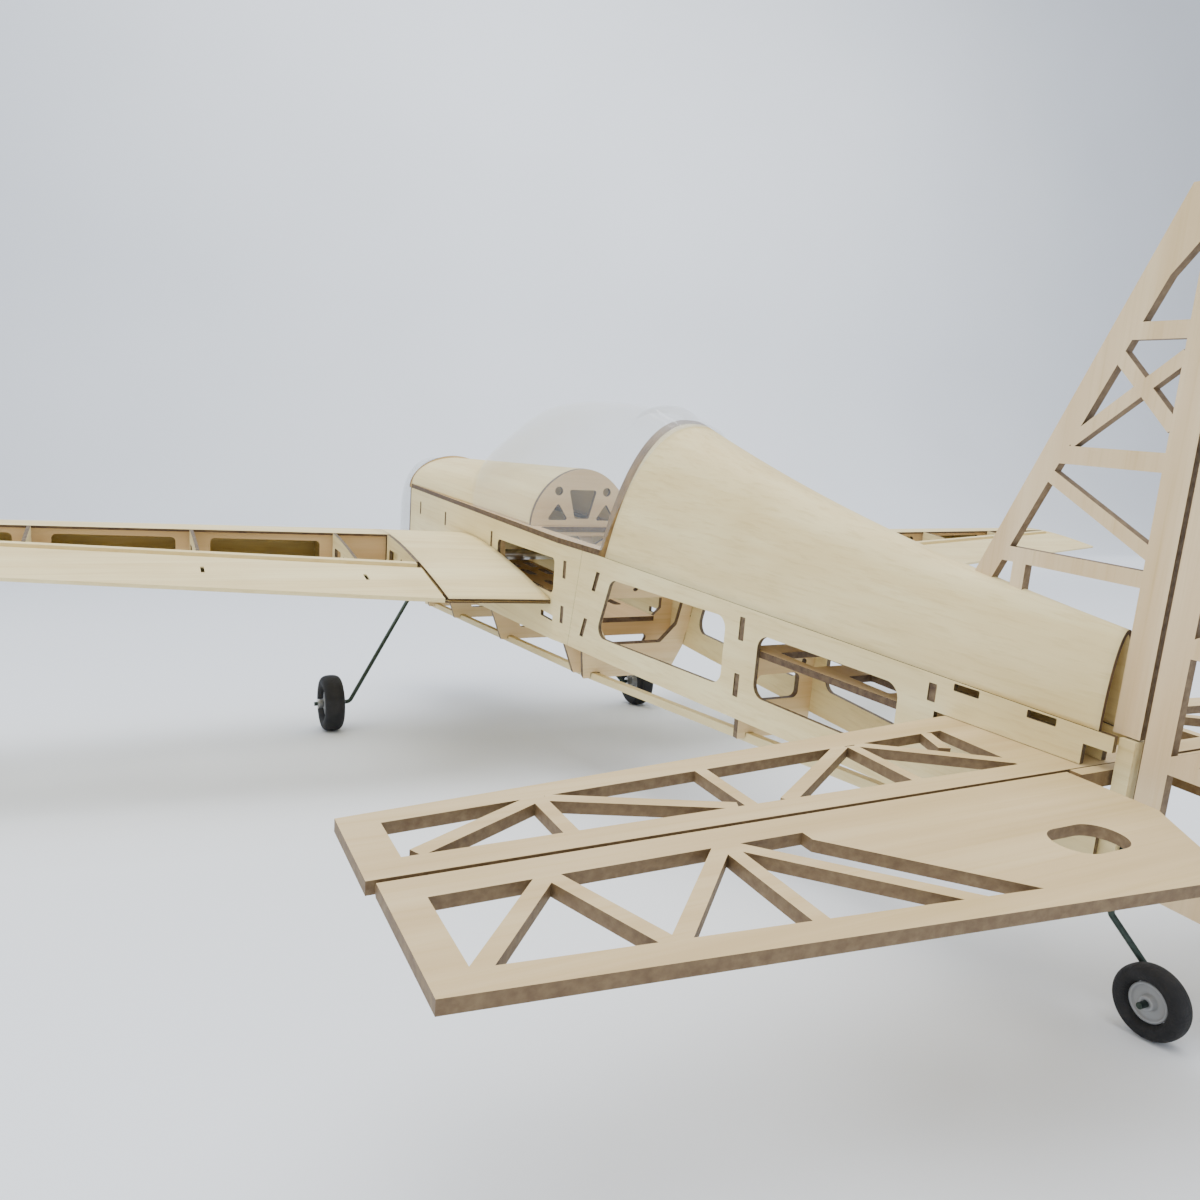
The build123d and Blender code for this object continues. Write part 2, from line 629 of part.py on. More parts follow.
with BuildPart() as spar:
    add(wing_strip(BAY_X + 2.2, TIP_X, lambda x: spar_y(x) + 3.0, 3.0, WING_SHEET + 0.1))
    for x0, x1 in zip(RIB_X[1:-1], RIB_X[2:]):
        with BuildSketch(station(60.0)):
            with BuildLine():
                FilletPolyline(*spar_window(x0, x1, 10.0, 0.72), radius=2.8, close=True)
            make_face()
        extrude(amount=-200, mode=Mode.SUBTRACT)
mirrored(keep(spar, "wing_spar_left"), "wing_spar_right")

with BuildPart() as rear_spar:
    add(wing_strip(BAY_X + 2.2, TIP_X, lambda x: hinge_y(x) - 4.6, 4.2, 0.0))
mirrored(keep(rear_spar, "wing_rear_spar_left"), "wing_rear_spar_right")


def rib(x, y0, y1, inset, wide, openings=(), round_nose=False):
    """One rib of sheet, wide along the span."""
    with BuildPart() as piece:
        extrude(wing_section(x, y0, y1, inset, round_nose), amount=wide, dir=(1, 0, 0))
        for points, radius in openings:
            with BuildSketch(profile_at(x - 1)):
                with BuildLine():
                    FilletPolyline(*points, radius=radius, close=True)
                make_face()
            extrude(amount=wide + 2, mode=Mode.SUBTRACT)
    return piece.part


with BuildPart() as ribs:
    for x in RIB_X:
        wide = 2.0
        start, end = spar_y(x) + 8.2, min(hinge_y(x), hinge_y(x + wide)) - 4.9
        reach = end - start
        high = 0.62 * skin_z(x, start + 8)
        low = 0.45 * skin_z(x, end - 6)
        z = mid(x)
        cut = []
        if reach > 40:
            a, b, c = start + 7, start + reach * 0.5, end - 7
            cut = [([(a, z - high), (b - 4, z + 0.8 * high), (a, z + 0.8 * high)], 1.5),
                   ([(a + 8, z - high), (c, z - low), (b + 2, z + 0.7 * high)], 1.5)]
        if reach > 2:
            add(rib(x, start, end, 0.1, wide, cut))
        add(rib(x, lead(x) + 3.0, spar_y(x) + 2.8, WING_SHEET + 0.5, wide, round_nose=True))
    for x in (ROOT_X + 0.1, BAY_X - 3.0):
        add(rib(x, lead(x) + 3.0, trail(x) - 14.0, WING_SHEET + 0.5, 2.0, round_nose=True))
    with BuildSketch(profile_at(0)):
        with Locations((TUBE_Y, TUBE_Z)):
            Circle(TUBE_R + RUNNING)
    extrude(amount=TUBE_R + 100.0, mode=Mode.SUBTRACT)
mirrored(keep(ribs, "wing_ribs_left"), "wing_ribs_right")

with BuildPart() as tip:
    add(wing_section(TIP_X + 0.1, lead(TIP_X), trail(TIP_X), 0.0, True))
    with BuildSketch(profile_at(TIP_X + 10.0)) as small:
        with Locations(((lead(TIP_X) + trail(TIP_X)) / 2 + 4, mid(TIP_X) + 0.6)):
            Ellipse(0.36 * (trail(TIP_X) - lead(TIP_X)), 2.0)
    loft()
mirrored(keep(tip, "wing_tip_left"), "wing_tip_right")

with BuildPart() as wing_tube:
    with BuildSketch(Plane.YZ.offset(-99.0)):
        with Locations((TUBE_Y, TUBE_Z)):
            Circle(TUBE_R)
            Circle(TUBE_R - 1.0, mode=Mode.SUBTRACT)
    extrude(amount=198.0)
keep(wing_tube, "wing_tube")

# ---------------------------------------------------------------- ailerons
AILERON_X = (BAY_X + 1.9, TIP_X - 0.6)
BEVEL = 7.0


def aileron_section(x, inset):
    z = mid(x)
    apex = hinge_y(x) + HINGE_GAP
    shoulder = hinge_y(x) + BEVEL
    end = trail(x)
    back = end - (7.0 if inset else 0.0)
    front = [(shoulder + 2 * inset, z + skin_z(x, shoulder) - inset), (back, z + max(0.3, skin_z(x, back) - inset))]
    points = front + [(y, 2 * z - h) for y, h in reversed(front)]
    if not inset:
        points.append((apex, z - 0.4))
        points.append((apex, z + 0.4))
    with BuildSketch(profile_at(x)) as section:
        with BuildLine():
            Polyline(*points, close=True)
        make_face()
    return section.sketch


with BuildPart() as aileron:
    for x in AILERON_X:
        add(aileron_section(x, 0.0))
    loft(ruled=True)
    with BuildPart(mode=Mode.PRIVATE) as hollow:
        for x in (AILERON_X[0] + 3.0, AILERON_X[1] - 3.0):
            add(aileron_section(x, 1.2))
        loft(ruled=True)
    add(hollow.part, mode=Mode.SUBTRACT)
    for x, y in ((140.0, 271.0), (226.0, 256.0)):
        with BuildSketch(Plane.XY.offset(-60)):
            with Locations((x, y)):
                Rectangle(2.0, 9.0)
        extrude(amount=100, mode=Mode.SUBTRACT)
mirrored(keep(aileron, "aileron_left"), "aileron_right")

# ---------------------------------------------------------------- tailplane and elevator
def stick(plane, a, b, wide, depth):
    """One flat stick of the lattice, from point to point, its ends square."""
    run = Vector(b[0] - a[0], b[1] - a[1])
    middle = ((a[0] + b[0]) / 2, (a[1] + b[1]) / 2, 0)
    with BuildSketch(plane) as flat:
        with Locations(Location(middle, (0, 0, degrees(atan2(run.Y, run.X))))):
            Rectangle(run.length, wide)
    extrude(flat.sketch, amount=depth)


STAB_PLANE = Plane.XY.offset(STAB_Z - TAIL_SHEET / 2)


def stab_lead(x):
    return 582.3 + 0.094 * (abs(x) - 17.6)


REAR_BAR = 8.0
with BuildPart() as tailplane:
    for hand in (1, -1):
        with BuildSketch(STAB_PLANE):
            with BuildLine():
                Polyline((0, 580.6), (hand * 17.6, stab_lead(17.6)), (hand * STAB_TIP, stab_lead(STAB_TIP)),
                         (hand * STAB_TIP, STAB_HINGE - HINGE_GAP / 2), (0, STAB_HINGE - HINGE_GAP / 2), close=True)
            make_face()
            with BuildLine():
                Polyline((hand * 26.0, stab_lead(26) + 10.5), (hand * 214.5, stab_lead(214.5) + 6.2),
                         (hand * 214.5, STAB_HINGE - REAR_BAR), (hand * 26.0, STAB_HINGE - REAR_BAR), close=True)
            make_face(mode=Mode.SUBTRACT)
        extrude(amount=TAIL_SHEET)
        for a, b in (((211, 623.5), (176, 605)), ((174.8, 603), (174.8, 625)), ((173, 605), (128, 624)),
                     ((124.2, 600.0), (124.2, 625)), ((113, 625), (70, 596)), ((67, 597), (67, 625)),
                     ((65, 596), (24, 622.5)), ((33, 594), (38, 607))):
            stick(STAB_PLANE, (hand * a[0], a[1]), (hand * b[0], b[1]), 4.0, TAIL_SHEET)
keep(tailplane, "tailplane")

ELEV_END = 222.0


def elev_trail(x):
    return 697.0 - 0.115 * (x - 20.0)


with BuildPart() as elevator_left:
    lift = TAIL_SHEET / 2
    with BuildSketch(profile_at(16.0)):
        with BuildLine():
            y0 = STAB_HINGE + HINGE_GAP / 2
            Polyline((y0, STAB_Z - 0.4), (y0 + HINGE_BEVEL, STAB_Z - lift), (y0 + 9.5, STAB_Z - lift),
                     (y0 + 9.5, STAB_Z + lift), (y0 + HINGE_BEVEL, STAB_Z + lift), (y0, STAB_Z + 0.4), close=True)
        make_face()
    extrude(amount=ELEV_END - 16.0)
    with BuildSketch(STAB_PLANE):
        with BuildLine():
            Polyline((16, 642), (122, 642), (122, 646), (80, elev_trail(80)), (38, elev_trail(38)), (16, 662),
                     close=True)
        make_face()
        with BuildLine():
            FilletPolyline((42, 661), (64, 661), (64, 675), (42, 675), radius=6.8, close=True)
        make_face(mode=Mode.SUBTRACT)
        with BuildLine():
            Polyline((76, elev_trail(76) - 7), (ELEV_END, elev_trail(ELEV_END) - 7), (ELEV_END, elev_trail(ELEV_END)),
                     (76, elev_trail(76)), close=True)
        make_face()
        with BuildLine():
            Polyline((ELEV_END - 8, 640), (ELEV_END, 640), (ELEV_END, elev_trail(ELEV_END)),
                     (ELEV_END - 8, elev_trail(ELEV_END)), close=True)
        make_face()
    extrude(amount=TAIL_SHEET)
    for a, b in (((144, 641), (102, 684)), ((144, 641), (176, 674)), ((188, 641), (176, 674)), ((188, 641), (214, 670)),
                 ((144, 641), (144, 678))):
        stick(STAB_PLANE, a, b, 4.0, TAIL_SHEET)
mirrored(keep(elevator_left, "elevator_left"), "elevator_right")

with BuildPart() as joiner:
    with BuildSketch(Plane.YZ.offset(-15.9)):
        with Locations((636.4, STAB_Z)):
            Rectangle(4.0, 5.0)
    extrude(amount=31.8)
keep(joiner, "elevator_joiner")

# ---------------------------------------------------------------- fin and rudder
FIN_PLANE = profile_at(-TAIL_SHEET / 2)
FIN_TOP = 150.0


def fin_lead(z):
    return 573.7 + 0.468 * (z - 30.0)


fin_aft = RUDDER_HINGE - HINGE_GAP
with BuildPart() as fin:
    with BuildSketch(FIN_PLANE):
        with BuildLine():
            Polyline((fin_lead(30), 26), (fin_lead(FIN_TOP), FIN_TOP), (fin_aft, FIN_TOP), (fin_aft, -5.8),
                     (fin_aft - 8.5, -5.8), (fin_aft - 8.5, FIN_TOP - 8), (fin_lead(FIN_TOP - 8) + 9.4, FIN_TOP - 8),
                     (fin_lead(26) + 9.6, 26), close=True)
        make_face()
    extrude(amount=TAIL_SHEET)
    for a, b, wide in (((586, 40.5), (637, 40.5), 5.0), ((599, 74.2), (637, 74.2), 5.6), ((616, 111), (637, 111), 5.0),
                       ((599, 68), (637, 48), 4.0), ((605, 78), (637, 104), 4.0), ((616, 105), (637, 84), 4.0),
                       ((619, 118), (637, 140), 4.0), ((594, 38), (594, 27), 5.0)):
        stick(FIN_PLANE, a, b, wide, TAIL_SHEET)
    add(rear_body, mode=Mode.SUBTRACT)
keep(fin, "fin")


def rudder_trail(z):
    """Trailing edge of the rudder, fullest a third of the way up."""
    return 726.0 - 0.17 * max(0.0, z - 20.0) - 0.35 * max(0.0, 20.0 - z)


with BuildPart() as rudder:
    with BuildSketch(Plane.XY.offset(-50.0)):
        with BuildLine():
            y0 = RUDDER_HINGE + 0.2
            Polyline((-0.4, y0), (-lift, y0 + HINGE_BEVEL), (-lift, y0 + 9.0), (lift, y0 + 9.0),
                     (lift, y0 + HINGE_BEVEL), (0.4, y0), close=True)
        make_face()
    extrude(amount=50.0 + FIN_TOP + 12.0)
    with BuildSketch(FIN_PLANE):
        outer = [(653.0, 162.0), (rudder_trail(162) - 14, 162.0), (rudder_trail(146), 146.0), (rudder_trail(20), 20.0),
                 (rudder_trail(-50), -50.0), (653.0, -50.0)]
        inner = [(653.0, 154.0), (rudder_trail(154) - 19, 154.0), (rudder_trail(143) - 8, 143.0),
                 (rudder_trail(20) - 8, 20.0), (rudder_trail(-43) - 8, -42.0), (653.0, -42.0)]
        with BuildLine():
            Polyline(*outer, close=True)
        make_face()
        with BuildLine():
            Polyline(*inner, close=True)
        make_face(mode=Mode.SUBTRACT)
    extrude(amount=TAIL_SHEET)
    levels = (-42.0, -10.0, 24.0, 62.0, 100.0, 140.0)
    for low, high in zip(levels, levels[1:]):
        stick(FIN_PLANE, (653, high), (rudder_trail(high) - 6, high), 5.0, TAIL_SHEET)
        stick(FIN_PLANE, (653, low), (rudder_trail(high) - 7, high), 4.0, TAIL_SHEET)
    with BuildSketch(Plane.XY.offset(-51.0)):
        with Locations((0, RUDDER_HINGE)):
            Circle(1.0 + 0.02)
    extrude(amount=26.0, mode=Mode.SUBTRACT)
keep(rudder, "rudder")

# ---------------------------------------------------------------- wheels and wires
def to_datum(y, z):
    """Ground coordinates of a point on the centre plane turned back into the datum frame."""
    c, s = cos(radians(PITCH)), sin(radians(PITCH))
    dy, dz = y - GEAR_Y, z - DATUM_HEIGHT
    return (GEAR_Y + c * dy - s * dz, s * dy + c * dz)


AXLE_Y, AXLE_Z = to_datum(GEAR_Y, WHEEL_R)
with BuildPart() as wire_left:
    with BuildLine():
        FilletPolyline((14.0, GEAR_BLOCK_Y, GEAR_BLOCK_Z), (41.5, GEAR_BLOCK_Y, GEAR_BLOCK_Z),
                       (TRACK - 13.5, AXLE_Y, AXLE_Z), (TRACK + 12.0, AXLE_Y, AXLE_Z), radius=4.5)
    with BuildSketch(Plane.YZ.offset(14.0)):
        with Locations((GEAR_BLOCK_Y, GEAR_BLOCK_Z)):
            Circle(WIRE_R)
    sweep()
with BuildPart() as gear_wires:
    add(wire_left.part)
    add(mirror(wire_left.part, about=Plane.YZ))
keep(gear_wires, "gear_wires")


def wheel_axis(x, y, z):
    return Plane(origin=(x, y, z), x_dir=(0, 1, 0), z_dir=(1, 0, 0))


def tyre(x, y, z, radius, width, rim, name):
    """Round-shouldered tyre, turned about its axle."""
    with BuildPart() as ring:
        with BuildSketch(Plane(origin=(x, y, z), x_dir=(1, 0, 0), z_dir=(0, -1, 0))) as half:
            with Locations((0, (radius + rim) / 2)):
                RectangleRounded(width, radius - rim, min(width, radius - rim) * 0.42)
        revolve(axis=Axis((x, y, z), (1, 0, 0)))
    return keep(ring, name)


def hub(x, y, z, rim, width, bore, name):
    """Dished plastic hub with a boss round the axle."""
    with BuildPart() as disc:
        with BuildSketch(wheel_axis(x - width * 0.32, y, z)):
            Circle(rim - 0.1)
        extrude(amount=width * 0.64)
        for face, hand in ((x + width * 0.32, -1), (x - width * 0.32, 1)):
            with BuildSketch(wheel_axis(face, y, z)):
                Circle(rim * 0.8)
                Circle(rim * 0.42, mode=Mode.SUBTRACT)
            extrude(amount=hand * width * 0.2, mode=Mode.SUBTRACT)
        with BuildSketch(wheel_axis(x - width / 2, y, z)):
            Circle(rim * 0.36)
        extrude(amount=width)
        with BuildSketch(wheel_axis(x - width, y, z)):
            Circle(bore)
        extrude(amount=2 * width, mode=Mode.SUBTRACT)
    return keep(disc, name)


RIM = 11.0
for hand, word in ((1, "left"), (-1, "right")):
    tyre(hand * TRACK, AXLE_Y, AXLE_Z, WHEEL_R, WHEEL_W, RIM, f"tyre_{word}")
    hub(hand * TRACK, AXLE_Y, AXLE_Z, RIM, WHEEL_W - 3, WIRE_R + RUNNING, f"hub_{word}")

with BuildPart() as collars:
    for hand in (1, -1):
        for x in (TRACK - 7.9, TRACK + 7.9):
            with BuildSketch(wheel_axis(hand * x - 1.9, AXLE_Y, AXLE_Z)):
                Circle(3.4)
                Circle(WIRE_R + 0.02, mode=Mode.SUBTRACT)
            extrude(amount=3.8)
keep(collars, "wheel_collars")

TAIL_Y = 662.0
TAIL_Z = (TAIL_WHEEL_R - DATUM_HEIGHT + sin(radians(PITCH)) * (TAIL_Y - GEAR_Y)) / cos(radians(PITCH))
with BuildPart() as tail_wire:
    with BuildLine():
        FilletPolyline((0, RUDDER_HINGE, -25.5), (0, RUDDER_HINGE, -61.0), (-6.5, TAIL_Y, TAIL_Z),
                       (6.2, TAIL_Y, TAIL_Z), radius=2.2)
    with BuildSketch(Plane(origin=(0, RUDDER_HINGE, -25.5), x_dir=(1, 0, 0), z_dir=(0, 0, -1))):
        Circle(TAIL_WIRE_R)
    sweep()
keep(tail_wire, "tail_wheel_wire")
tyre(0.6, TAIL_Y, TAIL_Z, TAIL_WHEEL_R, TAIL_WHEEL_W, 6.0, "tail_tyre")
hub(0.6, TAIL_Y, TAIL_Z, 6.0, TAIL_WHEEL_W - 1.5, TAIL_WIRE_R + RUNNING, "tail_hub")

with BuildPart() as bearing:
    with BuildSketch(Plane.XY.offset(-57.6)):
        with Locations((0, RUDDER_HINGE - 5.5)):
            Rectangle(5.6, 17.0)
        with Locations((0, RUDDER_HINGE)):
            Circle(TAIL_WIRE_R + RUNNING, mode=Mode.SUBTRACT)
    extrude(amount=1.4)
keep(bearing, "tail_wheel_bearing")

# ---------------------------------------------------------------- stand the model on its wheels and write it
stance = Location((0, GEAR_Y, DATUM_HEIGHT)) * Location((0, 0, 0), (-PITCH, 0, 0)) * Location((0, -GEAR_Y, 0))
standing = [stance * piece for piece in pieces]
boxes = [piece.bounding_box() for piece in standing]
middle = (min(b.min.Y for b in boxes) + max(b.max.Y for b in boxes)) / 2
floor = min(b.min.Z for b in boxes)
print("datum origin in the finished frame:", (stance * Location((0, 0, 0))).position - Vector(0, middle, floor))
for piece, source in zip(standing, pieces):
    placed = Location((0, -middle, -floor)) * piece
    placed.label = source.label
    export_step(placed, f"parts/{source.label}.step")
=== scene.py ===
"""Looks of the bare balsa aerobatic model: wood, clear plastic, wire and rubber on the fixed frame."""
import math

import bpy
import numpy as np
from mathutils import Matrix, Vector


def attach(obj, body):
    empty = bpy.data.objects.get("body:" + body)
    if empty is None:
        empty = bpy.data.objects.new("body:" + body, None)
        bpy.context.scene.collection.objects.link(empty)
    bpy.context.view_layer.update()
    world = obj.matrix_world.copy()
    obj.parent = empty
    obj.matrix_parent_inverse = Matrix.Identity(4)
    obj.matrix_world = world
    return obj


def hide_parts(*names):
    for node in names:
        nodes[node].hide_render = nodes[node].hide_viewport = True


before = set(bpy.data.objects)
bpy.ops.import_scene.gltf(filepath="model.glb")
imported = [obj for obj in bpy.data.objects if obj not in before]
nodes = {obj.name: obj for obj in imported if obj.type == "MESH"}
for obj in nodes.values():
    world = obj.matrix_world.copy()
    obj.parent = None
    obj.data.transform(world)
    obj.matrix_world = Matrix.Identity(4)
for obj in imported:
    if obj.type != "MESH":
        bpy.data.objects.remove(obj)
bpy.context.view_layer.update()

# ------------------------------------------------------------------ where the model stands
PITCH = math.radians(8.323)                         # nose-up stance on the three wheels
DATUM = np.array([0.0, -0.323195, 0.185983])        # hatch line at the firewall
AFT = np.array([0.0, math.cos(PITCH), -math.sin(PITCH)])
UP = np.array([0.0, math.sin(PITCH), math.cos(PITCH)])
LEFT = np.array([1.0, 0.0, 0.0])


def stand(points):
    """Datum coordinates in millimetres (left, aft, up) turned into the standing model's metres."""
    p = np.asarray(points, float) / 1000.0
    return DATUM + p[..., :1] * LEFT + p[..., 1:2] * AFT + p[..., 2:3] * UP


# ------------------------------------------------------------------ shader maths
class Wire:
    """A value coming out of a node; sums and products of wires add Math nodes."""

    def __init__(self, finish, socket):
        self.finish, self.socket = finish, socket

    def _math(self, operation, a, b):
        return self.finish.node("ShaderNodeMath", {"operation": operation}, {0: a, 1: b})

    def __add__(self, other):
        return self._math("ADD", self, other)

    def __sub__(self, other):
        return self._math("SUBTRACT", self, other)

    def __rsub__(self, other):
        return self._math("SUBTRACT", other, self)

    def __mul__(self, other):
        return self._math("MULTIPLY", self, other)

    def __pow__(self, other):
        return self._math("POWER", self, other)

    __radd__ = __add__
    __rmul__ = __mul__

    def over(self, low, high):
        """0 below low, 1 above high, straight between."""
        return self.finish.node("ShaderNodeMapRange", {"clamp": True}, {0: self, 1: low, 2: high})

    def size(self):
        """The value without its sign."""
        return self._math("ABSOLUTE", self, 0.0)


class Finish:
    """One material, built node by node round a Principled shader."""

    def __init__(self, name):
        self.material = bpy.data.materials.new(name)
        self.material.use_nodes = True
        self.tree = self.material.node_tree
        self.tree.nodes.clear()
        self.output = self.tree.nodes.new("ShaderNodeOutputMaterial")

    def node(self, kind, settings=None, values=None, out=0):
        """Any node: its type, its settings, the values or wires of its sockets, and the output to read."""
        made = self.tree.nodes.new(kind)
        for key, value in (settings or {}).items():
            if key == "stops":
                ramp = made.color_ramp
                while len(ramp.elements) < len(value):
                    ramp.elements.new(0.5)
                for element, (at, colour) in zip(ramp.elements, value):
                    element.position = at
                    element.color = (*colour, 1.0)
            else:
                setattr(made, key, value)
        for key, value in (values or {}).items():
            if isinstance(value, Wire):
                self.tree.links.new(value.socket, made.inputs[key])
            else:
                made.inputs[key].default_value = value
        return Wire(self, made.outputs[out])

    def place(self, scale=(1, 1, 1)):
        """Object coordinates, turned level with the fuselage and then scaled."""
        here = self.node("ShaderNodeTexCoord", out="Object")
        size = tuple(1 / s for s in scale)
        return self.node("ShaderNodeMapping", {"vector_type": "TEXTURE"},
                         {"Vector": here, "Rotation": (-PITCH, 0.0, 0.0), "Scale": size})

    def facing(self, direction):
        """How squarely the surface faces a fixed direction of the piece, 0 to 1."""
        normal = self.node("ShaderNodeTexCoord", out="Normal")
        dot = self.node("ShaderNodeVectorMath", {"operation": "DOT_PRODUCT"},
                        {0: normal, 1: tuple(float(d) for d in direction)}, out="Value")
        return dot.size()

    def noise(self, vector, scale, detail=3.0, rough=0.5, out="Fac"):
        return self.node("ShaderNodeTexNoise", {}, {"Vector": vector, "Scale": scale, "Detail": detail,
                                                    "Roughness": rough}, out=out)

    def mix(self, factor, a, b):
        """Colour mix."""
        made = self.tree.nodes.new("ShaderNodeMix")
        made.data_type = "RGBA"
        for index, value in ((0, factor), (6, a), (7, b)):
            if isinstance(value, Wire):
                self.tree.links.new(value.socket, made.inputs[index])
            elif index:
                made.inputs[index].default_value = (*value, 1.0)
            else:
                made.inputs[index].default_value = value
        return Wire(self, made.outputs[2])

    def bump(self, height, depth, strength=0.5):
        return self.node("ShaderNodeBump", {}, {"Height": height, "Distance": depth, "Strength": strength})

    def close(self, **sockets):
        """Adds the Principled shader and returns the finished material."""
        values = {}
        for key, value in sockets.items():
            name = key.replace("_", " ")
            values[name] = (*value, 1.0) if isinstance(value, tuple) and len(value) == 3 else value
        shader = self.node("ShaderNodeBsdfPrincipled", {}, values)
        self.tree.links.new(shader.socket, self.output.inputs["Surface"])
        return self.material


# ------------------------------------------------------------------ finishes
CREAM = (0.77, 0.62, 0.30)
PALE = (0.86, 0.74, 0.40)
HONEY = (0.51, 0.36, 0.115)
CHAR = (0.060, 0.030, 0.012)
TOAST = (0.125, 0.072, 0.028)


def wood(name, grain, flat=None, light=PALE, base=CREAM, dark=HONEY, char=CHAR, cut=0.80):
    """Sanded balsa or light ply: grain along one direction, faces turned from flat are scorched edges."""
    f = Finish(name)

    def along(run, across):
        return {"x": (run, across, across), "y": (across, run, across), "z": (across, across, run)}[grain]

    fibres = f.noise(f.place(along(12.0, 620.0)), 1.0, 4.0, 0.6)
    bands = f.noise(f.place(along(5.0, 95.0)), 1.0, 3.0, 0.55)
    clouds = f.noise(f.place(), 16.0, 2.0, 0.5)
    colour = f.mix(bands.over(0.34, 0.68), base, light)
    colour = f.mix(fibres.over(0.50, 0.78) * 0.38, colour, dark)
    colour = f.mix(clouds.over(0.50, 0.74) * 0.24, colour, dark)
    if flat is not None:
        soot = f.noise(f.place(), 420.0, 3.0, 0.6)
        edge = (1.0 - f.facing(flat).over(cut - 0.05, cut + 0.05)) * (0.84 + 0.16 * soot.over(0.30, 0.70))
        colour = f.mix(edge, colour, char)
    return f.close(Base_Color=colour, Roughness=0.60, Normal=f.bump(fibres * 0.7 + bands * 0.3, 0.0005, 0.35))


def scorched(name):
    """Laser-cut edge of sheet, seen as its own face."""
    f = Finish(name)
    soot = f.noise(f.place(), 150.0, 2.0, 0.5)
    return f.close(Base_Color=f.mix(soot.over(0.35, 0.7), CHAR, TOAST), Roughness=0.75,
                   Normal=f.bump(soot, 0.0003, 0.3))


def rubber(name):
    """Black foam rubber, with fine grit and slightly worn patches."""
    f = Finish(name)
    grit = f.noise(f.place(), 900.0, 3.0, 0.6)
    wear = f.noise(f.place(), 90.0, 2.0, 0.5)
    colour = f.mix(wear.over(0.45, 0.75), (0.006, 0.006, 0.007), (0.020, 0.020, 0.022))
    return f.close(Base_Color=colour, Roughness=0.78, Normal=f.bump(grit, 0.0008, 0.5))


def moulded(name, shade):
    """Moulded plastic with a fine skin."""
    f = Finish(name)
    skin = f.noise(f.place(), 700.0, 2.0, 0.5)
    tint = f.noise(f.place(), 60.0, 2.0, 0.5)
    colour = f.mix(tint.over(0.4, 0.7), shade, tuple(0.8 * s for s in shade))
    return f.close(Base_Color=colour, Roughness=0.42, Normal=f.bump(skin, 0.0003, 0.3))


def metal(name, shade, rough):
    """Drawn wire, turned steel or tube, streaked along its length."""
    f = Finish(name)
    drawn = f.noise(f.place((40, 900, 900)), 1.0, 3.0, 0.6)
    colour = f.mix(drawn.over(0.4, 0.7), shade, tuple(0.7 * s for s in shade))
    return f.close(Base_Color=colour, Roughness=rough, Metallic=0.9, Normal=f.bump(drawn, 0.0002, 0.3))


def clear_sheet(name, cloud, alpha, top):
    """Thin vacuum-formed plastic: a faint milky bloom, plus a painted sheen that makes the sheet more opaque
    where it faces up.
    """
    f = Finish(name)
    bloom = f.noise(f.place(), 9.0, 2.0, 0.5)
    ripple = f.noise(f.place(), 26.0, 2.0, 0.5)
    # painted sheen: top is added to the opacity where the sheet faces up, standing in for the overhead light's
    # reflection on the plastic
    haze_and_painted_sheen = bloom.over(0.30, 0.75) * cloud + alpha + f.facing(UP) ** 2.0 * top
    made = f.close(Base_Color=(0.80, 0.84, 0.87), Roughness=0.08, Alpha=haze_and_painted_sheen,
                   Normal=f.bump(ripple, 0.002, 0.25))
    made.surface_render_method = "BLENDED"
    return made


balsa_side = wood("balsa_side_sheet", "y", LEFT)
balsa_deck = wood("balsa_deck_sheet", "y")
balsa_span = wood("balsa_wing_sheet", "x")
# painted shade: the tailplane and elevator sticks get a darker tan than the other balsa, standing in for the
# shade on the tail
balsa_tail = wood("balsa_tail_sticks", "x", UP, light=(0.70, 0.54, 0.29), base=(0.58, 0.42, 0.20), char=TOAST)
balsa_fin = wood("balsa_fin_sticks", "z", LEFT, light=(0.80, 0.64, 0.40), base=(0.70, 0.52, 0.29), char=TOAST)
balsa_spar = wood("balsa_spar_web", "x", AFT, light=(0.62, 0.42, 0.20), base=(0.52, 0.33, 0.14))
balsa_rib = wood("balsa_ribs", "y", LEFT)
balsa_stick = wood("balsa_square_stick", "y")
ply_former = wood("plywood_former", "x", AFT, light=(0.82, 0.64, 0.36), base=(0.74, 0.53, 0.27), cut=0.85)
ply_hoop = wood("plywood_hoop_edge", "x", light=(0.30, 0.17, 0.030), base=(0.15, 0.075, 0.012), dark=CHAR)
ply_flat = wood("plywood_tray", "y", UP, light=(0.66, 0.46, 0.23), base=(0.56, 0.37, 0.17), cut=0.85)
burnt = scorched("scorched_edge")
# the last number of each sheet is the strength of its painted sheen on upward-facing surfaces
clear = clear_sheet("clear_canopy_sheet", 0.05, 0.055, 0.16)
milky = clear_sheet("milky_cowl_sheet", 0.12, 0.20, 0.05)
tyre_black = rubber("foam_tyre_black")
hub_grey = moulded("hub_grey_plastic", (0.34, 0.35, 0.36))
wire_dark = metal("spring_wire_dark", (0.055, 0.075, 0.065), 0.38)
steel_bright = metal("collar_steel", (0.62, 0.62, 0.60), 0.30)
alloy = metal("joiner_tube_alloy", (0.70, 0.71, 0.73), 0.28)

